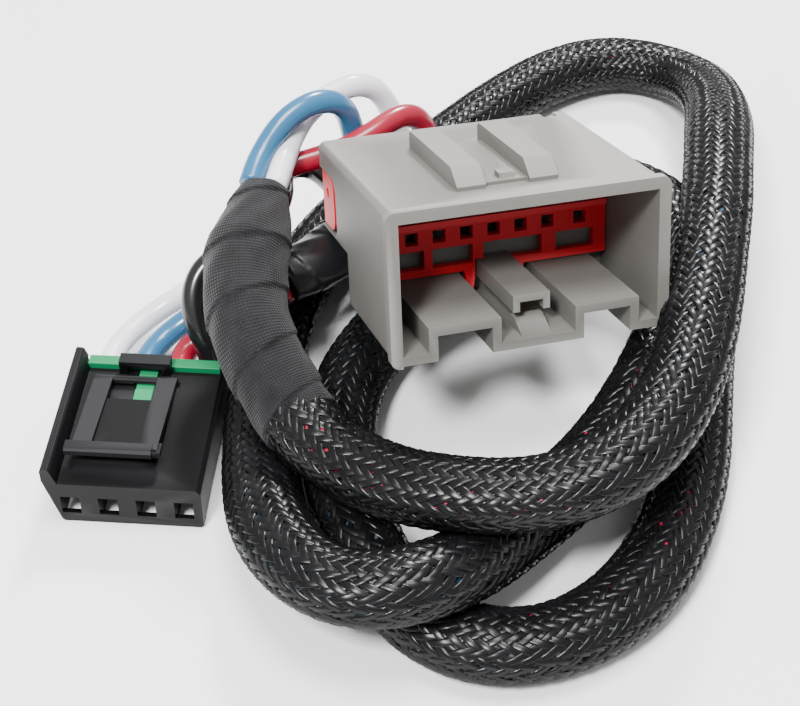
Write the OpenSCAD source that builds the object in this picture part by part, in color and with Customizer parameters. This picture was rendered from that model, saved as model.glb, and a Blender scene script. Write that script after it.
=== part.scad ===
// Wiring adapter for a trailer brake controller: a wide shrouded plug, a taped wire
// trunk, a braided sleeve wound in three passes and a four-way socket.

/* [Plug] */
// Width of the plug housing
plug_w = 44; // [42:0.5:48]
// Length of the plug housing, mouth to wire end
plug_l = 40.6; // [39:0.2:42]
// Height of the plug housing
plug_h = 23.8; // [23:0.2:26]
// Wall thickness of the plug shroud
plug_wall = 1.4; // [1.2:0.1:1.6]
// Depth from the mouth to the face of the terminal lock
lock_depth = 19.8; // [18:0.2:20.4]

/* [Socket] */
// Width of the socket body
socket_w = 23.6; // [23:0.2:25]
// Length of the socket body
socket_l = 27.3; // [26:0.1:29]
// Height of the socket body
socket_h = 8.4; // [8:0.1:9]
// Distance between neighbouring terminals of the socket
socket_pitch = 5.9; // [5.8:0.05:6]

/* [Loom] */
// Width of the braided sleeve as it lies
sleeve_w = 11.6; // [10:0.2:12]
// Thickness of the braided sleeve as it lies
sleeve_t = 9.4; // [8:0.2:9.6]
// Diameter of the taped wire trunk
trunk_d = 13; // [11:0.5:13]
// Diameter of one insulated wire
wire_d = 4; // [3:0.1:4]

/* [Hidden] */

// Small overshoot of a cutting solid
e = 0.5;

// ---- Where the two connectors lie -------------------------------------------
// The plug rests nose up on the sleeve; its left front bottom corner is plug_at.
plug_at = [4, -22.5, 26];
plug_nose_up = 19.7;
plug_lean = 3.9;
// The socket lies flat on the surface; its left front bottom corner is socket_at.
socket_at = [-49, -13, 0];
socket_turn = -22;

module plug_place() {
  translate(plug_at) rotate([-plug_nose_up, 0, 0]) rotate([0, plug_lean, 0]) children();
}
module socket_place() {
  translate(socket_at) rotate([0, 0, socket_turn]) children();
}

// A point of the plug's own frame, in the row frame
function plug_point(p) =
  let (x1 = p.x * cos(plug_lean) + p.z * sin(plug_lean),
       z1 = -p.x * sin(plug_lean) + p.z * cos(plug_lean))
  plug_at + [x1, p.y * cos(plug_nose_up) + z1 * sin(plug_nose_up),
             -p.y * sin(plug_nose_up) + z1 * cos(plug_nose_up)];
// A point of the socket's own frame, in the row frame
function socket_point(p) =
  socket_at + [p.x * cos(socket_turn) - p.y * sin(socket_turn),
               p.x * sin(socket_turn) + p.y * cos(socket_turn), p.z];

// ---- Swept cords -------------------------------------------------------------
function unit(v) = v / norm(v);
// Control points with one phantom point past each end, so the curve starts and
// ends on the first and last point.
function padded(p) =
  let (n = len(p) - 1)
  concat([2 * p[0] - p[1]], p, [2 * p[n] - p[n - 1]]);
// Point of the uniform cubic B-spline at parameter u, in control-point steps
function spline_at(q, u, n) =
  let (i = min(floor(u), n - 2), t = u - i)
  ((1 - t) ^ 3 * q[i] + (3 * t ^ 3 - 6 * t ^ 2 + 4) * q[i + 1]
   + (-3 * t ^ 3 + 3 * t ^ 2 + 3 * t + 1) * q[i + 2] + t ^ 3 * q[i + 3]) / 6;
function spline(p, rings) =
  let (q = padded(p), n = len(p))
  [for (k = [0:rings]) spline_at(q, (n - 1) * k / rings, n)];
function tangents(c) =
  let (n = len(c) - 1)
  [for (i = [0:n]) unit(c[min(i + 1, n)] - c[max(i - 1, 0)])];
// Side vectors carried along the curve without twist, from a first guess
function carried(t, first) =
  [for (i = 0, s = unit(cross(t[0], first)); i < len(t); i = i + 1,
        s = i < len(t) ? unit(s - (s * t[i]) * t[i]) : s) s];
// Tube of an elliptical section along the control points
module cord(points, width, thick, rings, sides, level = false, first = [0, 0, 1]) {
  c = spline(points, rings);
  t = tangents(c);
  s = level ? [for (v = t) unit(cross([0, 0, 1], v))] : carried(t, first);
  skin = [for (i = [0:rings], k = [0:sides - 1])
    c[i] + s[i] * cos(360 * k / sides) * width / 2
         + cross(t[i], s[i]) * sin(360 * k / sides) * thick / 2];
  walls = [for (i = [0:rings - 1], k = [0:sides - 1])
    [i * sides + k, (i + 1) * sides + k,
     (i + 1) * sides + (k + 1) % sides, i * sides + (k + 1) % sides]];
  ends = [[for (k = [0:sides - 1]) k], [for (k = [sides - 1:-1:0]) rings * sides + k]];
  polyhedron(points = skin, faces = concat(walls, ends));
}

// ---- Routes, chosen by hand ----------------------------------------------------
// Braided sleeve: first end under the trunk, round the front, the back and the
// left three times, second end behind the plug.
sleeve_route = [
  [-11, -15, 16], [-8, -26, 15], [-1, -37, 17], [8, -45, 20], [19, -50, 22],
  [31, -49, 24], [43, -40, 25], [54, -24, 25], [66, -4, 25], [78, 19, 21],
  [90, 41, 13], [93, 61, 5], [81, 71, 5], [65, 69, 5], [50, 61, 5],
  [34, 51, 5], [17, 41, 5], [2, 27, 5], [-8, 10, 5], [-14, -8, 5],
  [-19, -26, 8], [-19, -43, 13], [-12, -53, 15], [-1, -54, 15], [9, -49, 11],
  [19, -42, 8], [30, -37, 9], [41, -30, 13], [51, -20, 14.5], [59, -9, 14.5],
  [65, 2, 14.5], [66, 13, 14.5], [60, 22, 14.5], [50, 27, 14.5], [38, 25, 12],
  [26, 18, 7], [14, 9, 5], [2, -2, 5], [-4, -16, 5], [-6, -31, 5],
  [-5, -45, 5], [0, -57, 5], [11, -63, 5], [25, -61, 5], [37, -53, 5],
  [47, -40, 5], [56, -23, 5], [65, -6, 5], [71, 9, 5], [71, 23, 5],
  [62, 32, 5], [49, 35, 5], [36, 33, 5], [25, 30, 8], [15, 25, 12], [7, 18, 16]
];
trunk_route = [[-5, 19, 30], [-9, 12, 28], [-13, 4, 25], [-14, -6, 21], [-11, -15, 16]];
end_tape_route = [[7, 18, 16], [1.5, 14.5, 16.5], [-4, 13, 16.5]];

// Section of the tape that closes the second end
end_tape_w = 9.6;
end_tape_t = 8.6;
// Sides of the sections and rings along each cord
sleeve_sides = 10;
sleeve_rings = 54;
wire_sides = 8;

// ---- Plug --------------------------------------------------------------------
// Rear part of the plug starts at step_y and its bottom lies step_z higher
step_y = 25;
step_z = 8.7;
// Tops of the two raised ribs of the shroud floor
rib_top = 5.5;
// Terminals: places across the plug, and their height
plug_cavities = [4.6, 9.2, 13.8, 18.4, 23, 27.6, 32.2, 37.8];
plug_axis_z = 12.3;
plug_cavity = 3.3;
// Cavity numbers of the black, blue, red and white circuits
circuits = [0, 1, 4, 3];
// Inner block that holds the terminals
block_front = 23.4;
block_rear = 38.6;
block_top = 15.2;
block_side = 3.3;

// Arched notch in the left wall: the two corner circles
notch_y = 33.5;
notch_z = [12.2, 17.2];
notch_r = 2.5;

// Outline of a box with rounded corners, standing in the XZ plane
module rounded_prism(x0, z0, x1, z1, y0, y1, r) {
  translate([0, y1, 0]) rotate([90, 0, 0]) linear_extrude(y1 - y0) hull() {
    for (x = [x0 + r, x1 - r], z = [z0 + r, z1 - r]) translate([x, z]) circle(r, $fn = 32);
  }
}
module block(low, high) {
  translate(low) cube(high - low);
}

// Section of the shroud floor: channels, ribs and the centre valley
rib_left = [5.5, 17];
rib_right = [29, 39.5];
module floor_section() {
  w = plug_wall;
  polygon([
    [w, 0], [rib_left[0] + w, 0], [rib_left[0] + w, rib_top - w],
    [rib_left[1] - w, rib_top - w], [rib_left[1] - w, 0], [rib_right[0] + w, 0],
    [rib_right[0] + w, rib_top - w], [rib_right[1] - w, rib_top - w],
    [rib_right[1] - w, 0], [plug_w - w, 0], [plug_w - w, w], [rib_right[1], w],
    [rib_right[1], rib_top], [rib_right[0], rib_top], [rib_right[0], w],
    [rib_left[1], w], [rib_left[1], rib_top], [rib_left[0], rib_top],
    [rib_left[0], w], [w, w]
  ]);
}

// One rail of the mounting clip on the roof, with a sloped front end
module clip_rail(x) {
  rail_w = 4.6;
  rail_h = 3.2;
  rail_y = [7, 31];
  slope = 3;
  translate([x, 0, plug_h - 0.2]) rotate([90, 0, 90]) linear_extrude(rail_w) polygon([
    [rail_y[0], 0], [rail_y[1], 0], [rail_y[1], rail_h - 0.6], [rail_y[1] - 0.8, rail_h],
    [rail_y[0] + slope, rail_h], [rail_y[0], 0.8]
  ]);
}

module plug_housing() {
  w = plug_wall;
  color("#9c9a94") plug_place() {
    difference() {
      union() {
        difference() {
          union() {
            rounded_prism(0, 0, plug_w, plug_h, 0, step_y, 1.2);
            rounded_prism(0, step_z, plug_w, plug_h, step_y - 2, plug_l, 1.2);
            // Raised rim round the mouth
            rounded_prism(-0.5, -0.4, plug_w + 0.5, plug_h + 0.5, 0, 1.8, 1.4);
          }
          // Mating space, open at the bottom where the floor section goes
          block([w, -e, -e - 1], [plug_w - w, block_front - 1, plug_h - w]);
          // Space above the terminal block
          block([w, block_front - 2, block_top], [plug_w - w, plug_l - 3, plug_h - w]);
          // Wire end, open to the rear
          block([w, block_rear, step_z + w], [plug_w - w, plug_l + e, plug_h - w]);
          // Slots beside the block for the skirts of the terminal lock
          for (x = [w, plug_w - block_side]) {
            block([x, block_front - 2, step_z + w], [x + block_side - w, plug_l + e, plug_h - w]);
          }
        }
        translate([0, block_front + 1, 0]) rotate([90, 0, 0])
          linear_extrude(block_front + 1) floor_section();
        // Front of the terminal block, down to the ribs, and its root
        block([w, block_front, 1], [plug_w - w, step_y + 0.2, step_z + 1]);
        block([block_side, block_front, step_z], [plug_w - block_side, block_rear, block_top]);
      }
      // Terminal passages
      for (x = plug_cavities) {
        block([x - plug_cavity / 2, block_front - 1, plug_axis_z - plug_cavity / 2],
              [x + plug_cavity / 2, block_rear + 1, plug_axis_z + plug_cavity / 2]);
      }
      // Arched notch at the left of the wire end, where the lock shows
      for (z = notch_z) {
        translate([-e - 0.6, notch_y, z]) rotate([0, 90, 0])
          cylinder(h = w + 1.2, r = notch_r, $fn = 48);
      }
      block([-e - 0.6, notch_y - notch_r, notch_z[0]], [w + 0.1, plug_l + e, notch_z[1]]);
      block([-e - 0.6, notch_y, notch_z[0] - notch_r],
            [w + 0.1, plug_l + e, notch_z[1] + notch_r]);
      // Small notch in the right rear corner of the roof
      block([plug_w - 5, plug_l - 2.2, plug_h - w - e], [plug_w - 2.6, plug_l + e, plug_h + e]);
    }
    clip_rail(12.8);
    clip_rail(24.4);
    // Pad between the rails with a stop bump
    block([17, 8, plug_h - 0.2], [24.8, 29, plug_h + 0.5]);
    block([20.2, 9, plug_h], [22.8, 11.2, plug_h + 1.3]);
    // Bridge over the centre valley, open below, with a ramp tooth under its end
    difference() {
      block([20, 3, 4.6], [26, block_front + 0.5, 7.3]);
      block([21.1, 2, 4.4], [24.9, block_front - 3, 6.2]);
    }
    translate([20.6, 0, plug_wall - 0.1]) rotate([90, 0, 90]) linear_extrude(4.8)
      polygon([[0.4, 0], [6, 0], [6, 2], [4.6, 2]]);
  }
}

// Terminal lock of the plug: a pierced plate with a skirt at each side
window_z = [7, 10.2];
windows = [[2.9, 11.2], [12.6, 19.4], [21.2, 31.2], [33.6, 40.2]];
lock_plate_t = 1.7;
lock_top = 14.9;
skirt_x = [1.65, 2.95];
lock_travel = 2.1;
pad_r = 2.1;
module plug_terminal_lock() {
  color("#b3202b") plug_place() difference() {
    union() {
      block([skirt_x[0], lock_depth, rib_top + 0.25],
            [plug_w - skirt_x[0], lock_depth + lock_plate_t, lock_top]);
      for (side = [0, 1]) {
        x0 = side == 0 ? skirt_x[0] : plug_w - skirt_x[1];
        block([x0, lock_depth, step_z + plug_wall + 0.25],
              [x0 + skirt_x[1] - skirt_x[0], block_rear - 0.4, 19.2]);
      }
      // Pad of the left skirt that fills the notch, short of it by the lock's travel
      block([0.3, notch_y + lock_travel, notch_z[0] - pad_r],
            [skirt_x[0] + 0.2, plug_l - 0.4, notch_z[1] + pad_r]);
      block([0.3, notch_y + lock_travel - pad_r, notch_z[0]],
            [skirt_x[0] + 0.2, plug_l - 0.4, notch_z[1]]);
      for (z = notch_z) {
        translate([0.3, notch_y + lock_travel, z]) rotate([0, 90, 0])
          cylinder(h = skirt_x[0] - 0.1, r = pad_r, $fn = 48);
      }
      // Two tapered tongues beside the centre bridge and small tabs on the top edge
      for (x = [18.9, 27.1]) {
        translate([x, lock_depth + 1.2, 0]) rotate([90, 0, 0]) linear_extrude(1.2)
          polygon([[-1.1, 6.5], [1.1, 6.5], [0.5, 2.6], [-0.5, 2.6]]);
      }
      for (x = [11.6, 20.3, 29.6, 35]) {
        block([x, lock_depth, lock_top - 0.1], [x + 1.2, lock_depth + 1, lock_top + 0.7]);
      }
      // Upper stiffening lip
      block([skirt_x[0], lock_depth - 0.5, lock_top - 0.9],
            [plug_w - skirt_x[0], lock_depth + 0.2, lock_top]);
    }
    for (x = plug_cavities) {
      block([x - 1.05, lock_depth - 1, plug_axis_z - 1.05],
            [x + 1.05, lock_depth + lock_plate_t + e, plug_axis_z + 1.05]);
    }
    for (span = windows) {
      block([span[0], lock_depth - 1, window_z[0]],
            [span[1], lock_depth + lock_plate_t + e, window_z[1]]);
    }
    // Clear of the bridge over the centre valley
    block([19.75, lock_depth - 1, 0], [26.25, lock_depth + lock_plate_t + e, 7.55]);
    // Dimple in the left skirt
    translate([0.2, plug_l - 3.4, 16]) rotate([0, 90, 0]) cylinder(h = 0.6, r = 0.8, $fn = 32);
  }
}

// Female terminal: a box round the blade, a neck and a crimp round the wire
module terminal(box_w, box_l, crimp_l, crimp_d) {
  difference() {
    block([-box_w / 2, 0, -box_w / 2], [box_w / 2, box_l, box_w / 2]);
    block([-box_w / 2 + 0.4, -e, -0.5], [box_w / 2 - 0.4, box_l - 1, 0.5]);
  }
  block([-0.7, box_l - 0.2, -box_w / 2], [0.7, box_l + 2, -box_w / 2 + 0.6]);
  translate([0, box_l + 2, 0]) rotate([-90, 0, 0]) difference() {
    cylinder(h = crimp_l, d = crimp_d, $fn = 32);
    translate([0, 0, -e]) cylinder(h = crimp_l + 2 * e, d = crimp_d - 0.8, $fn = 32);
  }
}
module plug_terminal(k) {
  color("#b9a36a") plug_place() translate([plug_cavities[circuits[k]], block_front + 1, plug_axis_z])
    terminal(2.8, 7, 5.4, 3);
}

// ---- Wires of the plug ----------------------------------------------------------
// Each starts at the terminal block's rear, bends up, over and down to the trunk.
function plug_exit(k, out) = plug_point([plug_cavities[circuits[k]], block_rear + out, plug_axis_z]);
plug_exit_gap = 0.2;
plug_routes = [
  [[9, 28, 22], [7, 32, 23], [3, 32.5, 24.2], [0, 28.5, 25], [-0.8, 23.5, 26.6], [-2.9, 18.4, 28]],
  [[14, 27, 22], [14.2, 31, 25], [14, 32.5, 30], [12.5, 32, 35], [9, 31, 37.5],
   [4.5, 29.5, 38], [0, 27.5, 36.5], [-4.6, 23.8, 33.5], [-7, 19.6, 32]],
  [[27.5, 26.5, 21.5], [27.5, 30.5, 25], [26, 31.5, 30], [22, 30.5, 32], [17, 28, 31.3],
   [11.5, 26.4, 30], [6, 26.4, 29.2], [1, 26.5, 28.8], [-3.5, 24.2, 29.3], [-6.6, 20.4, 28]],
  [[23, 28, 21], [23.5, 33, 22.5], [23, 37.5, 27], [20.5, 38.5, 32.5], [16, 37.5, 35],
   [10.5, 36.5, 34], [6, 33.5, 33.2], [2.5, 29, 32.8], [-0.5, 23, 32.8], [-3.5, 17.6, 32]]
];
module plug_wire(k, shade) {
  route = concat([plug_exit(k, plug_exit_gap), plug_exit(k, 4)], plug_routes[k]);
  color(shade) cord(route, wire_d, wire_d, len(route) + 3, wire_sides, first = [1, 0, 0]);
}

// ---- Socket ------------------------------------------------------------------
socket_first = 3;
socket_cavity_w = 3;
socket_cavity_z = [1.9, 5.5];
socket_axis_z = 3.9;
wire_entry = 4.5;
entry_l = 6;
wall_top = 11.4;
hinge_y = 22.6;
hinge_z = 8.95;
hinge_r = 0.75;
function socket_x(k) = socket_first + k * socket_pitch;

module socket_housing() {
  color("#1d1d1f") socket_place() difference() {
    union() {
      translate([0, socket_l, 0]) rotate([90, 0, 0]) linear_extrude(socket_l) polygon([
        [1.2, 0.4], [1.6, 0], [socket_w - 0.5, 0], [socket_w, 0.5], [socket_w, socket_h - 0.8],
        [socket_w - 0.6, socket_h], [1.4, socket_h], [0.5, wall_top - 0.3], [0.2, wall_top],
        [-0.8, wall_top], [-1, wall_top - 0.4], [-1, socket_h + 0.6]
      ]);
      // Bridge over the terminal lock, on two feet
      block([6.6, 24.4, socket_h - 0.5], [8, 26.6, 11.2]);
      block([13.6, 24.4, socket_h - 0.5], [15, 26.6, 11.2]);
      block([6.6, 24.4, 9.9], [15, 26.6, 11.2]);
    }
    // Blade openings, with the floor cut away behind the front wall
    for (k = [0:3]) {
      x = socket_x(k);
      block([x - socket_cavity_w / 2, -e, socket_cavity_z[0]],
            [x + socket_cavity_w / 2, socket_l - entry_l + 1, socket_cavity_z[1]]);
      block([x - socket_cavity_w / 2, 0.9, -e], [x + socket_cavity_w / 2, 6.4, 3]);
      translate([x, socket_l - entry_l, socket_axis_z]) rotate([-90, 0, 0])
        cylinder(h = entry_l + e, d = wire_entry, $fn = 48);
    }
    // Groove of the terminal lock along the rear edge, and its tongue slot
    block([0.9, 25.6, 7.4], [socket_w - 0.5, socket_l + e, 9.6]);
    block([9.6, 18.2, 7.4], [13, socket_l + e, socket_h + 0.2]);
    // Seat of the latch's root
    translate([2.8, hinge_y, hinge_z]) rotate([0, 90, 0])
      cylinder(h = 14, r = hinge_r + 0.06, $fn = 48);
    // Shallow recesses beside the latch arms
    block([6.4, 8, socket_h - 0.7], [12.8, 17.6, socket_h + e]);
  }
}

module socket_terminal_lock() {
  color("#1f9e62") socket_place() {
    block([1.1, 25.8, 7.55], [socket_w - 0.7, socket_l + 0.5, 9.3]);
    block([9.8, 18.4 + 2.2, 7.55], [12.8, 26, 8.6]);
    block([9.8, 18.4, 7.55], [12.8, 20.8, 8.9]);
  }
}

// Latch: two ramp arms, a web between them and a raised thumb bar
arm_x = [[3, 6], [13.3, 16.4]];
bar_z = [10.5, 12.1];
module socket_latch() {
  color("#232325") socket_place() {
    difference() {
      union() {
        for (a = arm_x) {
          translate([a[0], 0, 0]) rotate([90, 0, 90]) linear_extrude(a[1] - a[0]) polygon([
            [5, bar_z[0] + 0.2], [12, 9.4], [hinge_y, 8.6], [hinge_y + 0.4, 9.6],
            [hinge_y - 1.4, 10], [6, 11.9], [5, 11.9]
          ]);
        }
        translate([arm_x[0][0], hinge_y, hinge_z]) rotate([0, 90, 0])
          cylinder(h = arm_x[1][1] - arm_x[0][0], r = hinge_r, $fn = 48);
      }
      // Room for the lock's tongue under the root
      block([9.4, 17.8, 7], [13.2, 25, 9.1]);
    }
    translate([arm_x[0][1] - 0.2, 0, 0]) rotate([90, 0, 90])
      linear_extrude(arm_x[1][0] - arm_x[0][1] + 0.4) polygon([
        [6, 10.2], [12, 9.5], [17.4, 9.15], [17.4, 9.9], [6, 10.9]
      ]);
    // Thumb bar with a small hook at its right end
    translate([2, 5, 0]) rotate([90, 0, 90]) linear_extrude(13.6) polygon([
      [-1, bar_z[0] + 0.3], [-0.7, bar_z[0]], [1, bar_z[0]], [1, bar_z[1]], [-0.6, bar_z[1]],
      [-1, bar_z[1] - 0.4]
    ]);
    block([15.2, 4.4, 10.6], [16.9, 6.6, 11.7]);
  }
}

module socket_terminal(k) {
  color("#b9a36a") socket_place() translate([socket_x(k), 8, socket_axis_z])
    terminal(2.6, 6, 5.8, 2.9);
}

// ---- Wires of the socket -------------------------------------------------------
function socket_exit(k, out) = socket_point([socket_x(k), socket_l + out, socket_axis_z]);
socket_routes = [
  [[-32, 19.5, 3.9], [-27, 23, 4.5], [-20, 24, 7.5], [-13, 22.3, 11.5], [-8, 19.6, 15], [-4, 16, 16.5]],
  [[-26.5, 16.5, 4], [-21.5, 19, 5.5], [-15.5, 19, 8.5], [-9, 16.2, 12], [-4, 13, 13.4]],
  [[-21.5, 14, 4.5], [-17, 14.5, 7], [-11, 11.2, 12.5], [-4, 10, 16.5]],
  [[-18.5, 9.7, 8], [-20, 11, 12], [-19.5, 14.5, 16.5], [-16.5, 17, 19.5],
   [-11.5, 17.5, 20.6], [-7.5, 15, 20.2], [-4, 13, 19.6]]
];
module socket_wire(k, shade) {
  route = concat([socket_exit(k, -entry_l + 0.5), socket_exit(k, 0), socket_exit(k, 4)],
                 socket_routes[k]);
  color(shade) cord(route, wire_d, wire_d, len(route) + 3, wire_sides, first = [1, 0, 0]);
}

// ---- Loom ----------------------------------------------------------------------
module trunk_tape() {
  color("#2c2b2e") cord(trunk_route, trunk_d, trunk_d, 5, sleeve_sides, level = true);
}
module loom_sleeve() {
  color("#17171a") cord(sleeve_route, sleeve_w, sleeve_t, sleeve_rings, sleeve_sides, level = true);
}
module sleeve_end_tape() {
  color("#101012") cord(end_tape_route, end_tape_w, end_tape_t, 3, sleeve_sides, level = true);
}

plug_housing();
plug_terminal_lock();
plug_terminal(0);  // plug_terminal_black
plug_terminal(1);  // plug_terminal_blue
plug_terminal(2);  // plug_terminal_red
plug_terminal(3);  // plug_terminal_white
plug_wire(0, "#1b1b1d");  // plug_wire_black
plug_wire(1, "#4a8fc0");  // plug_wire_blue
plug_wire(2, "#9c1f2e");  // plug_wire_red
plug_wire(3, "#e8e6ea");  // plug_wire_white
trunk_tape();
loom_sleeve();
sleeve_end_tape();
socket_wire(0, "#e8e6ea");  // socket_wire_white
socket_wire(1, "#3a7d92");  // socket_wire_blue
socket_wire(2, "#c8405c");  // socket_wire_red
socket_wire(3, "#1b1b1d");  // socket_wire_black
socket_terminal(0);  // socket_terminal_white
socket_terminal(1);  // socket_terminal_blue
socket_terminal(2);  // socket_terminal_red
socket_terminal(3);  // socket_terminal_black
socket_housing();
socket_terminal_lock();
socket_latch();
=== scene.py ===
import math
import random

import bmesh
import bpy
import numpy as np
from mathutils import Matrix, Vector


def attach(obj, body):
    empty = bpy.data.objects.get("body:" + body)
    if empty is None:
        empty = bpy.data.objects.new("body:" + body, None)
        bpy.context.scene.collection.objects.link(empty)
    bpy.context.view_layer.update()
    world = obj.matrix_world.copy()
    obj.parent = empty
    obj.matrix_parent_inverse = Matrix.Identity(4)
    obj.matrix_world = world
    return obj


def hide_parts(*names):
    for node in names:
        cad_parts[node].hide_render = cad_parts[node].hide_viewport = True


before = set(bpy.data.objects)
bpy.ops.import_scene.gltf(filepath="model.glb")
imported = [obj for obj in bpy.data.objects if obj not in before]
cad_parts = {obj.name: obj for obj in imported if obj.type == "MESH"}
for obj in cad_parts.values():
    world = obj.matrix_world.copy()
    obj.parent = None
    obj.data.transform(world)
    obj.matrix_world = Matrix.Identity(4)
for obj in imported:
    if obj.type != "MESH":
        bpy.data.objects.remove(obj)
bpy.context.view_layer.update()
rng = random.Random(7)

# ---- Camera: from the front, a little to the left, looking down at 44 degrees ----
cam_data = bpy.data.cameras.new("view")
cam_data.lens = 75.15
cam_data.sensor_width = 36
cam_data.clip_start = 0.01
camera = bpy.data.objects.new("view", cam_data)
bpy.context.scene.collection.objects.link(camera)
camera.location = (-0.0502, -0.1917, 0.2008)
forward = Vector((0.2223, 0.6841, -0.6947))
camera.rotation_euler = forward.to_track_quat("-Z", "Y").to_euler()
bpy.context.scene.camera = camera

# ---- Routes: control points in metres, the same as in the CAD source ----
SLEEVE = [
    (-0.011, -0.015, 0.016), (-0.008, -0.026, 0.015), (-0.001, -0.037, 0.017),
    (0.008, -0.045, 0.02), (0.019, -0.05, 0.022), (0.031, -0.049, 0.024), (0.043, -0.04, 0.025),
    (0.054, -0.024, 0.025), (0.066, -0.004, 0.025), (0.078, 0.019, 0.021), (0.09, 0.041, 0.013),
    (0.093, 0.061, 0.005), (0.081, 0.071, 0.005), (0.065, 0.069, 0.005), (0.05, 0.061, 0.005),
    (0.034, 0.051, 0.005), (0.017, 0.041, 0.005), (0.002, 0.027, 0.005), (-0.008, 0.01, 0.005),
    (-0.014, -0.008, 0.005), (-0.019, -0.026, 0.008), (-0.019, -0.043, 0.013),
    (-0.012, -0.053, 0.015), (-0.001, -0.054, 0.015), (0.009, -0.049, 0.011),
    (0.019, -0.042, 0.008), (0.03, -0.037, 0.009), (0.041, -0.03, 0.013), (0.051, -0.02, 0.0145),
    (0.059, -0.009, 0.0145), (0.065, 0.002, 0.0145), (0.066, 0.013, 0.0145),
    (0.06, 0.022, 0.0145), (0.05, 0.027, 0.0145), (0.038, 0.025, 0.012), (0.026, 0.018, 0.007),
    (0.014, 0.009, 0.005), (0.002, -0.002, 0.005), (-0.004, -0.016, 0.005),
    (-0.006, -0.031, 0.005), (-0.005, -0.045, 0.005), (0, -0.057, 0.005), (0.011, -0.063, 0.005),
    (0.025, -0.061, 0.005), (0.037, -0.053, 0.005), (0.047, -0.04, 0.005), (0.056, -0.023, 0.005),
    (0.065, -0.006, 0.005), (0.071, 0.009, 0.005), (0.071, 0.023, 0.005), (0.062, 0.032, 0.005),
    (0.049, 0.035, 0.005), (0.036, 0.033, 0.005), (0.025, 0.03, 0.008), (0.015, 0.025, 0.012),
    (0.007, 0.018, 0.016),
]
TRUNK = [
    (-0.005, 0.019, 0.03), (-0.009, 0.012, 0.028), (-0.013, 0.004, 0.025), (-0.014, -0.006, 0.021),
    (-0.011, -0.015, 0.016),
]
END_TAPE = [
    (0.007, 0.018, 0.016), (0.0015, 0.0145, 0.0165), (-0.004, 0.013, 0.0165),
]
PLUG_WIRES = [
    [
        (0.009, 0.028, 0.022), (0.007, 0.032, 0.023), (0.003, 0.0325, 0.0242), (0, 0.0285, 0.025),
        (-0.0008, 0.0235, 0.0266), (-0.0029, 0.0184, 0.028),
    ],
    [
        (0.014, 0.027, 0.022), (0.0142, 0.031, 0.025), (0.014, 0.0325, 0.03),
        (0.0125, 0.032, 0.035), (0.009, 0.031, 0.0375), (0.0045, 0.0295, 0.038),
        (0, 0.0275, 0.0365),
        (-0.0046, 0.0238, 0.0335), (-0.007, 0.0196, 0.032),
    ],
    [
        (0.0275, 0.0265, 0.0215), (0.0275, 0.0305, 0.025), (0.026, 0.0315, 0.03),
        (0.022, 0.0305, 0.032), (0.017, 0.028, 0.0313), (0.0115, 0.0264, 0.03),
        (0.006, 0.0264, 0.0292), (0.001, 0.0265, 0.0288), (-0.0035, 0.0242, 0.0293),
        (-0.0066, 0.0204, 0.028),
    ],
    [
        (0.023, 0.028, 0.021), (0.0235, 0.033, 0.0225), (0.023, 0.0375, 0.027),
        (0.0205, 0.0385, 0.0325), (0.016, 0.0375, 0.035), (0.0105, 0.0365, 0.034),
        (0.006, 0.0335, 0.0332), (0.0025, 0.029, 0.0328), (-0.0005, 0.023, 0.0328),
        (-0.0035, 0.0176, 0.032),
    ],
]
SOCKET_WIRES = [
    [
        (-0.032, 0.0195, 0.0039), (-0.027, 0.023, 0.0045), (-0.02, 0.024, 0.0075),
        (-0.013, 0.0223, 0.0115), (-0.008, 0.0196, 0.015), (-0.004, 0.016, 0.0165),
    ],
    [
        (-0.0265, 0.0165, 0.004), (-0.0215, 0.019, 0.0055), (-0.0155, 0.019, 0.0085),
        (-0.009, 0.0162, 0.012), (-0.004, 0.013, 0.0134),
    ],
    [
        (-0.0215, 0.014, 0.0045), (-0.017, 0.0145, 0.007), (-0.011, 0.0112, 0.0125),
        (-0.004, 0.01, 0.0165),
    ],
    [
        (-0.0185, 0.0097, 0.008), (-0.02, 0.011, 0.012), (-0.0195, 0.0145, 0.0165),
        (-0.0165, 0.017, 0.0195), (-0.0115, 0.0175, 0.0206), (-0.0075, 0.015, 0.0202),
        (-0.004, 0.013, 0.0196),
    ],
]
COLOURS = {
    "black": (0.008, 0.008, 0.009),
    "blue": (0.025, 0.12, 0.24),
    "red": (0.25, 0.006, 0.022),
    "white": (0.74, 0.73, 0.78),
}
PLUG_ORDER = ["black", "blue", "red", "white"]
SOCKET_ORDER = ["white", "blue", "red", "black"]


def turned(p, yaw=0.0, up=0.0, lean=0.0):
    """A point turned about Y by lean, about X by -up and about Z by yaw, in degrees."""
    x, y, z = p
    a, b, c = math.radians(lean), math.radians(up), math.radians(yaw)
    x, z = x * math.cos(a) + z * math.sin(a), -x * math.sin(a) + z * math.cos(a)
    y, z = y * math.cos(b) + z * math.sin(b), -y * math.sin(b) + z * math.cos(b)
    return np.array([x * math.cos(c) - y * math.sin(c), x * math.sin(c) + y * math.cos(c), z])


def plug_point(x, y, z):
    """A point of the plug's own axes, as the plug lies in the scene."""
    return np.array([0.004, -0.0225, 0.026]) + turned((x, y, z), up=19.7, lean=3.9)


def socket_point(x, y, z):
    """A point of the socket's own axes, as the socket lies in the scene."""
    return np.array([-0.049, -0.013, 0.0]) + turned((x, y, z), yaw=-22)


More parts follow.
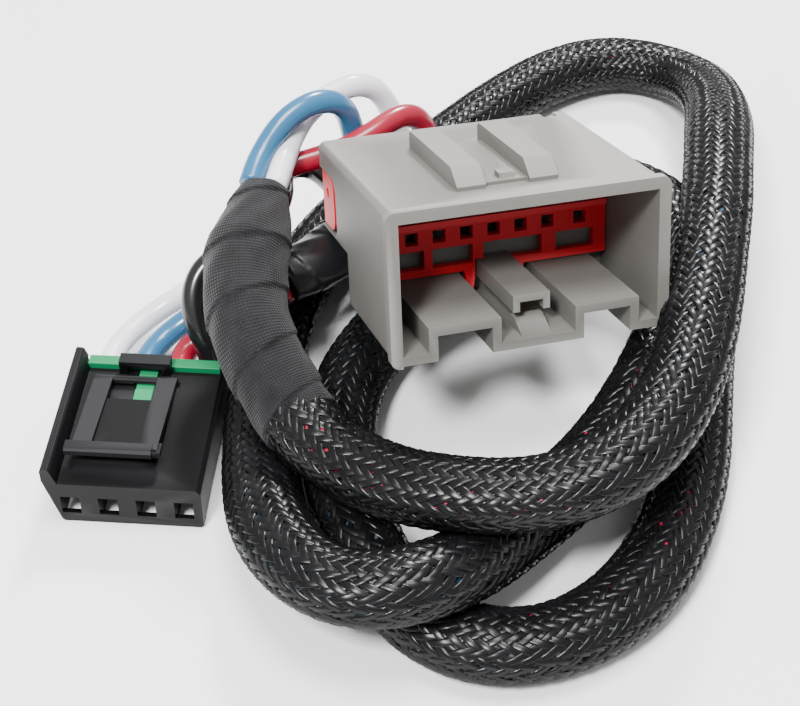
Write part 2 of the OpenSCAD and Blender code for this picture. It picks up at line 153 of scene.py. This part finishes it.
# ---- Curves and sections ----
def spline(points, per_step):
    """Uniform cubic B-spline that starts at the first point and ends at the last."""
    p = [np.array(q, float) for q in points]
    q = [2 * p[0] - p[1]] + p + [2 * p[-1] - p[-2]]
    out = []
    n = len(p)
    for k in range((n - 1) * per_step + 1):
        u = k / per_step
        i = min(int(u), n - 2)
        t = u - i
        out.append(((1 - t) ** 3 * q[i] + (3 * t ** 3 - 6 * t ** 2 + 4) * q[i + 1]
                    + (-3 * t ** 3 + 3 * t ** 2 + 3 * t + 1) * q[i + 2] + t ** 3 * q[i + 3]) / 6)
    return np.array(out)


def resampled(c, step):
    """The same curve with points a step apart, and the distance along it."""
    d = np.concatenate([[0], np.cumsum(np.linalg.norm(np.diff(c, axis=0), axis=1))])
    n = max(2, int(round(d[-1] / step)))
    s = np.linspace(0, d[-1], n + 1)
    return np.stack([np.interp(s, d, c[:, k]) for k in range(3)], 1), s


def frames(c, level=False):
    """Tangents and two cross directions; level keeps the first of those horizontal."""
    t = np.gradient(c, axis=0)
    t /= np.linalg.norm(t, axis=1)[:, None]
    if level:
        a = np.cross(np.array([0, 0, 1.0]), t)
        a /= np.linalg.norm(a, axis=1)[:, None]
    else:
        a = np.zeros_like(t)
        v = np.cross(t[0], np.array([1.0, 0, 0]))
        for i in range(len(t)):
            v = v - np.dot(v, t[i]) * t[i]
            v = v / np.linalg.norm(v)
            a[i] = v
    return t, a, np.cross(t, a)


def made(name, verts, faces, uvs=None, mats=(), index=None):
    """A smooth-shaded mesh object; index gives the material slot of each face."""
    mesh = bpy.data.meshes.new(name)
    mesh.from_pydata([tuple(v) for v in verts], [], faces)
    if uvs is not None:
        layer = mesh.uv_layers.new(name="along")
        loops = np.zeros(len(mesh.loops), int)
        mesh.loops.foreach_get("vertex_index", loops)
        layer.data.foreach_set("uv", np.array(uvs)[loops].astype(np.float32).ravel())
    for m in mats:
        mesh.materials.append(m)
    if index is not None:
        mesh.polygons.foreach_set("material_index", index)
    mesh.polygons.foreach_set("use_smooth", [True] * len(mesh.polygons))
    mesh.update()
    obj = bpy.data.objects.new(name, mesh)
    bpy.context.scene.collection.objects.link(obj)
    return obj


def swept(name, c, s, a, b, radius, sides, mats, index_of=None):
    """A tube closed at both ends; radius(i, angles) gives ring i's half width and height."""
    ang = np.linspace(0, 2 * np.pi, sides, endpoint=False)
    verts, uvs = [], []
    for i in range(len(c)):
        w, h = radius(i, ang)
        ring = c[i] + np.outer(w * np.cos(ang), a[i]) + np.outer(h * np.sin(ang), b[i])
        verts.append(ring)
        uvs.append(np.stack([ang / (2 * np.pi), np.full(sides, s[i])], 1))
    verts = np.concatenate(verts)
    uvs = np.concatenate(uvs)
    faces, index = [], []
    for i in range(len(c) - 1):
        for k in range(sides):
            k2 = (k + 1) % sides
            here, there = i * sides, (i + 1) * sides
            faces.append((here + k, here + k2, there + k2, there + k))
            index.append(index_of(i, k) if index_of else 0)
    faces.append(tuple(range(sides - 1, -1, -1)))
    faces.append(tuple((len(c) - 1) * sides + k for k in range(sides)))
    index += [0, 0]
    return made(name, verts, faces, uvs, mats, index)


# ---- Materials ----
def material(name, colour, rough, **more):
    """A procedural material whose colour and roughness vary.

    sockets sets shader inputs. broad and grain are noise scales. spread is the range of the
    colour. bump and depth shape the surface, from noise or from a weave in UV. wear is the
    colour of worn edges.
    """
    m = bpy.data.materials.new(name)
    m.use_nodes = True
    nt = m.node_tree
    bsdf = nt.nodes["Principled BSDF"]
    coord = nt.nodes.new("ShaderNodeTexCoord")
    for k, v in more.get("sockets", {}).items():
        bsdf.inputs[k].default_value = v
    broad = nt.nodes.new("ShaderNodeTexNoise")
    broad.inputs["Scale"].default_value = more.get("broad", 60)
    broad.inputs["Detail"].default_value = 5
    nt.links.new(coord.outputs["Object"], broad.inputs["Vector"])
    ramp = nt.nodes.new("ShaderNodeValToRGB")
    lo, hi = more.get("spread", (0.85, 1.12))
    ramp.color_ramp.elements[0].position = 0.3
    ramp.color_ramp.elements[1].position = 0.7
    ramp.color_ramp.elements[0].color = (*[min(1, v * lo) for v in colour], 1)
    ramp.color_ramp.elements[1].color = (*[min(1, v * hi) for v in colour], 1)
    nt.links.new(broad.outputs["Fac"], ramp.inputs["Fac"])
    out = ramp.outputs["Color"]
    if "wear" in more:
        geo = nt.nodes.new("ShaderNodeNewGeometry")
        edge = nt.nodes.new("ShaderNodeValToRGB")
        edge.color_ramp.elements[0].position = 0.53
        edge.color_ramp.elements[1].position = 0.62
        nt.links.new(geo.outputs["Pointiness"], edge.inputs["Fac"])
        mix = nt.nodes.new("ShaderNodeMixRGB")
        mix.inputs["Color2"].default_value = (*more["wear"], 1)
        nt.links.new(edge.outputs["Color"], mix.inputs["Fac"])
        nt.links.new(out, mix.inputs["Color1"])
        out = mix.outputs["Color"]
    nt.links.new(out, bsdf.inputs["Base Color"])
    span = nt.nodes.new("ShaderNodeMapRange")
    span.inputs["To Min"].default_value = rough - 0.06
    span.inputs["To Max"].default_value = rough + 0.08
    nt.links.new(broad.outputs["Fac"], span.inputs["Value"])
    nt.links.new(span.outputs["Result"], bsdf.inputs["Roughness"])
    bump = nt.nodes.new("ShaderNodeBump")
    bump.inputs["Strength"].default_value = more.get("bump", 0.25)
    bump.inputs["Distance"].default_value = more.get("depth", 0.00004)
    if "weave" in more:
        uv = nt.nodes.new("ShaderNodeMapping")
        uv.inputs["Scale"].default_value = (more["weave"][0], more["weave"][1], 1)
        nt.links.new(coord.outputs["UV"], uv.inputs["Vector"])
        waves = []
        for axis in ("X", "Y"):
            w = nt.nodes.new("ShaderNodeTexWave")
            w.bands_direction = axis
            w.inputs["Scale"].default_value = 1
            w.inputs["Distortion"].default_value = 1.2
            w.inputs["Detail"].default_value = 2
            nt.links.new(uv.outputs["Vector"], w.inputs["Vector"])
            waves.append(w.outputs["Fac"])
        mul = nt.nodes.new("ShaderNodeMath")
        mul.operation = "MULTIPLY"
        nt.links.new(waves[0], mul.inputs[0])
        nt.links.new(waves[1], mul.inputs[1])
        nt.links.new(mul.outputs[0], bump.inputs["Height"])
    else:
        fine = nt.nodes.new("ShaderNodeTexNoise")
        fine.inputs["Scale"].default_value = more.get("grain", 2600)
        fine.inputs["Detail"].default_value = 3
        nt.links.new(coord.outputs["Object"], fine.inputs["Vector"])
        nt.links.new(fine.outputs["Fac"], bump.inputs["Height"])
    nt.links.new(bump.outputs["Normal"], bsdf.inputs["Normal"])
    return m


GREY = material("moulded_grey", (0.130, 0.124, 0.113), 0.50, grain=3200, bump=0.4,
                wear=(0.23, 0.222, 0.207), spread=(0.93, 1.05))
RED = material("moulded_red", (0.56, 0.008, 0.018), 0.46, grain=1500, bump=0.12,
               sockets={"Specular IOR Level": 0.22}, wear=(0.72, 0.05, 0.06))
GREEN = material("moulded_green", (0.008, 0.20, 0.075), 0.48, grain=1500, bump=0.12,
                 sockets={"Specular IOR Level": 0.2})
BLACK = material("moulded_black", (0.003, 0.003, 0.0035), 0.42, grain=3000, bump=0.35,
                 sockets={"Specular IOR Level": 0.15}, wear=(0.02, 0.02, 0.022))
LATCH = material("moulded_latch", (0.003, 0.003, 0.0035), 0.5, grain=3000, bump=0.3,
                 sockets={"Specular IOR Level": 0.12}, wear=(0.02, 0.02, 0.022))
METAL = material("tinned_brass", (0.62, 0.52, 0.33), 0.3, grain=900, bump=0.1,
                 sockets={"Metallic": 1.0})
FILAMENT = material("filament", (0.004, 0.004, 0.0045), 0.27, broad=220, grain=5000, bump=0.15,
                    spread=(0.6, 1.5), sockets={"Specular IOR Level": 0.24})
CLOTH = material("cloth_tape", (0.005, 0.005, 0.006), 0.70, weave=(25, 620), bump=0.9,
                 depth=0.00015, broad=400, spread=(0.6, 1.9),
                 sockets={"Sheen Weight": 0.10, "Sheen Roughness": 0.5, "Specular IOR Level": 0.2})
VINYL = material("vinyl_tape", (0.008, 0.008, 0.009), 0.34, grain=800, bump=0.2,
                 sockets={"Specular IOR Level": 0.3})
WIRE = {
    k: material("insulation_" + k, v, 0.24, broad=90, grain=900, bump=0.06, spread=(0.88, 1.08),
                sockets={"Coat Weight": 0.3, "Coat Roughness": 0.15})
    for k, v in COLOURS.items()
}
CORE = [
    material("core_" + k, v, 0.5, broad=120, grain=900)
    for k, v in (("dark", (0.010, 0.010, 0.011)), ("red", (0.36, 0.008, 0.04)),
                 ("grey", (0.06, 0.075, 0.08)), ("blue", (0.015, 0.05, 0.09)))
]

# ---- Braided sleeve: carriers of two filaments each way, two over and two under ----
BRAID_STEP = 0.00048               # between rings along the sleeve
HALF_W, HALF_T = 0.00575, 0.00455  # half width and half thickness of the braid
CARRIERS, PIECE_CARRIERS = 24, 12  # each way round, and in one piece
PITCH = 0.052                      # one turn of a carrier along the sleeve
RIBBON = 0.00090                   # width of a carrier
WEAVE_RISE = 0.0002                # how far a carrier goes out where it is over, and in where under
FILAMENT_RISE = 0.001              # scale of the profile across a carrier
CARRIER_PROFILE = (-0.10, 0.19, 0.0, 0.19, -0.10)
ACROSS = len(CARRIER_PROFILE)
JITTER = 0.004                     # of a turn
centre, s_along = resampled(spline(SLEEVE, 40), BRAID_STEP)
tangent, side, lift = frames(centre, level=True)
# The sleeve swells and slackens a little along its length
swell = 1 + 0.02 * np.sin(s_along * 95) + 0.012 * np.sin(s_along * 211 + 1)


def carrier(direction, index, jitter):
    """Vertices of one carrier along the sleeve, with two raised filaments across it."""
    theta = 2 * np.pi * (index / CARRIERS + jitter + direction * s_along / PITCH)
    crossing = 2 * CARRIERS * s_along / PITCH
    over = direction * np.cos(direction * np.pi / 2 * crossing + np.pi * index - np.pi / 4)
    wander = 0.05 * np.sin(s_along * 60 + 900 * jitter)
    half = RIBBON / 2
    rows = []
    for k, rise in enumerate(CARRIER_PROFILE):
        x = (k - 2) / 2 * half
        t2 = theta + wander + x * 1.25 / HALF_W
        out = WEAVE_RISE * over + rise * FILAMENT_RISE
        w = HALF_W * swell + out
        h = HALF_T * swell + out
        shift = -direction * x * 0.55
        p = centre + (w * np.cos(t2))[:, None] * side + (h * np.sin(t2))[:, None] * lift
        rows.append(p + tangent * shift)
    return np.stack(rows, 1)


braids = []
for letter, direction, start in (("a", 1, 0), ("b", 1, PIECE_CARRIERS),
                                 ("c", -1, 0), ("d", -1, PIECE_CARRIERS)):
    verts, faces = [], []
    for index in range(start, start + PIECE_CARRIERS):
        grid = carrier(direction, index, rng.uniform(-JITTER, JITTER))
        n = len(grid)
        base = len(verts) * n * ACROSS
        verts.append(grid.reshape(-1, 3))
        for i in range(n - 1):
            for k in range(ACROSS - 1):
                q = base + i * ACROSS + k
                faces.append((q, q + 1, q + ACROSS + 1, q + ACROSS))
    braids.append(made("braid_" + letter, np.concatenate(verts), faces, mats=[FILAMENT]))

# Bundle of wires inside the braid, four lobes that turn slowly
LOBES, LOBE_TWIST, CORE_SIDES = 4, 28, 40  # twist in radians per metre
lane, s_lane = centre[::4], s_along[::4]
lobe_side, lobe_lift = side[::4], lift[::4]


def lobed(i, ang):
    turn = s_lane[i] * LOBE_TWIST
    r = 0.88 + 0.05 * np.cos(LOBES * (ang - turn))
    return HALF_W * r, HALF_T * r


def lobe_of(i, k):
    turn = (s_lane[i] * LOBE_TWIST) % (2 * np.pi)
    angle = 2 * np.pi * (k + 0.5) / CORE_SIDES - turn + np.pi / LOBES
    return int((angle % (2 * np.pi)) // (2 * np.pi / LOBES))


core = swept("wire_bundle", lane, s_lane, lobe_side, lobe_lift, lobed, CORE_SIDES, CORE,
             index_of=lobe_of)

# ---- Taped trunk and the tape on the second end ----
TAPE_STEP, TAPE_SIDES = 0.0003, 72


def tape(name, route, profile, wraps, step, mat):
    """A spiral wrap, wraps to the metre, that rises a step across each, over profile(0 to 1)."""
    c, s = resampled(spline(route, 60), TAPE_STEP)
    t, a, b = frames(c, level=True)
    length = s[-1]

    def radius(i, ang):
        w, h = profile(s[i] / length)
        turn = (s[i] * wraps - ang / (2 * np.pi)) % 1.0
        ridge = step * turn + 0.175 * step * np.sin(ang * 3 + s[i] * 400)
        pull = 0.00018 * np.sin(ang * 2 + s[i] * 160) + 0.00008 * np.sin(ang * 7 - s[i] * 900)
        return w + ridge + pull, h + ridge + pull

    return swept(name, c, s, a, b, radius, TAPE_SIDES, [mat])


def trunk_profile(u):
    at = [0, 0.05, 0.24, 0.6, 0.86, 1]
    w = np.interp(u, at, [0.0040, 0.0046, 0.0064, 0.0065, 0.0062, 0.0059])
    h = np.interp(u, at, [0.0040, 0.0046, 0.0063, 0.0063, 0.0056, 0.0049])
    return w, h


def end_profile(u):
    at = [0, 0.12, 0.7, 1]
    w = np.interp(u, at, [0.0058, 0.0054, 0.0046, 0.0043])
    h = np.interp(u, at, [0.0044, 0.0042, 0.0042, 0.0042])
    return w, h


TRUNK_TAIL = (-0.0098, -0.0195, 0.0154)  # the wrap runs on a little over the braid
trunk = tape("trunk_wrap", TRUNK + [TRUNK_TAIL], trunk_profile, 105, 0.0004, CLOTH)
end_wrap = tape("end_wrap", END_TAPE, end_profile, 120, 0.00028, VINYL)

# ---- Wires ----
WIRE_R, WIRE_STEP, WIRE_SIDES = 0.002, 0.0006, 24
wires = []


def wire(name, route, colour):
    c, s = resampled(spline(route, 24), WIRE_STEP)
    t, a, b = frames(c)

    def section(i, ang):
        r = WIRE_R * (1 + 0.012 * np.sin(s[i] * 700) + 0.01 * np.sin(ang * 2 + s[i] * 300))
        return r, r

    wires.append((swept(name, c, s, a, b, section, WIRE_SIDES, [WIRE[colour]]), c, s))


# Where the wires leave the connectors, in the connectors' own axes
PLUG_REAR, PLUG_ROW = 0.0386, 0.0123
PLUG_CAVITIES = [0.0046, 0.0092, 0.023, 0.0184]
SOCKET_REAR, SOCKET_ROW = 0.0273, 0.0039
SOCKET_FIRST, SOCKET_PITCH = 0.003, 0.0059
for k, colour in enumerate(PLUG_ORDER):
    start = [plug_point(PLUG_CAVITIES[k], PLUG_REAR + out, PLUG_ROW) for out in (0.0002, 0.004)]
    wire("plug_lead_" + colour, start + PLUG_WIRES[k], colour)
for k, colour in enumerate(SOCKET_ORDER):
    x = SOCKET_FIRST + SOCKET_PITCH * k
    start = [socket_point(x, SOCKET_REAR + out, SOCKET_ROW) for out in (-0.0055, 0, 0.004)]
    wire("socket_lead_" + colour, start + SOCKET_WIRES[k], colour)

# ---- Moulded parts: the CAD shapes with softened edges ----
WELD = 2e-6                     # vertices closer than this are one
FLAT = math.radians(1.5)        # faces that meet at less than this are joined
BEVEL_FROM = math.radians(40)   # edges sharper than this are rounded
SHADE_FROM = math.radians(32)   # edges sharper than this stay crisp in the shading


def softened(node, name, mat, body, width):
    """A copy of a CAD node with rounded edges, riding on a body in the node's place."""
    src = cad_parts[node]
    mesh = src.data.copy()
    mesh.name = name
    bm = bmesh.new()
    bm.from_mesh(mesh)
    bmesh.ops.remove_doubles(bm, verts=bm.verts, dist=WELD)
    bmesh.ops.dissolve_limit(bm, angle_limit=FLAT, verts=bm.verts, edges=bm.edges)
    bm.to_mesh(mesh)
    bm.free()
    mesh.materials.clear()
    mesh.materials.append(mat)
    obj = bpy.data.objects.new(name, mesh)
    bpy.context.scene.collection.objects.link(obj)
    bev = obj.modifiers.new("edges", "BEVEL")
    bev.width = width
    bev.segments = 2
    bev.limit_method = "ANGLE"
    bev.angle_limit = BEVEL_FROM
    even = obj.modifiers.new("flat_faces", "WEIGHTED_NORMAL")
    even.weight = 100
    even.keep_sharp = True
    mesh.polygons.foreach_set("use_smooth", [True] * len(mesh.polygons))
    mesh.set_sharp_from_angle(angle=SHADE_FROM)
    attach(obj, body)
    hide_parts(node)
    return obj


PARTS = [
    ("plug_housing", "plug_shell", GREY, "harness", 0.00022, "grey_plastic"),
    ("plug_terminal_lock", "plug_lock_plate", RED, "plug_lock", 0.00012, "red_plastic"),
    ("socket_housing", "socket_shell", BLACK, "harness", 0.00015, "black_plastic"),
    ("socket_terminal_lock", "socket_lock_strip", GREEN, "socket_lock", 0.00012, "green_plastic"),
    ("socket_latch", "socket_latch_arm", LATCH, "latch", 0.00015, "latch_plastic"),
]
for node, name, mat, body, width, slot in PARTS:
    softened(node, name, mat, body, width)
for node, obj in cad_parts.items():
    if "terminal_" in node and "lock" not in node:
        obj.data.materials.clear()
        obj.data.materials.append(METAL)

# ---- What rides on what ----
for obj in braids + [core, trunk, end_wrap] + [w[0] for w in wires]:
    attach(obj, "harness")
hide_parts("loom_sleeve")
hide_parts("trunk_tape")
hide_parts("sleeve_end_tape")
for obj, c, s in wires:
    end, colour = obj.name.split("_lead_")
    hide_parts(end + "_wire_" + colour)

# ---- Floor and light ----
def plane(name, size, z):
    h = size / 2
    return made(name, [(-h, -h, z), (h, -h, z), (h, h, z), (-h, h, z)], [(0, 1, 2, 3)])


floor = plane("floor", 6, -0.00015)
floor.data.materials.append(material("pale_floor", (0.93, 0.93, 0.93), 0.8, broad=8,
                                     spread=(0.99, 1.01), grain=300, bump=0.02))

world = bpy.data.worlds.new("studio")
bpy.context.scene.world = world
world.use_nodes = True
world.node_tree.nodes["Background"].inputs["Color"].default_value = (1, 1, 1, 1)
world.node_tree.nodes["Background"].inputs["Strength"].default_value = 0.72


def area_light(name, place, aim, size, power):
    data = bpy.data.lights.new(name, "AREA")
    data.size = size
    data.energy = power
    obj = bpy.data.objects.new(name, data)
    bpy.context.scene.collection.objects.link(obj)
    obj.location = place
    obj.rotation_euler = (Vector(aim) - Vector(place)).to_track_quat("-Z", "Y").to_euler()


AIM = (0.02, 0, 0.01)
area_light("key", (-0.35, -0.35, 0.75), AIM, 0.16, 14.0)
area_light("back", (0.35, 0.6, 0.6), AIM, 0.14, 11.0)
area_light("top", (0.05, 0.0, 1.0), AIM, 0.4, 12.0)
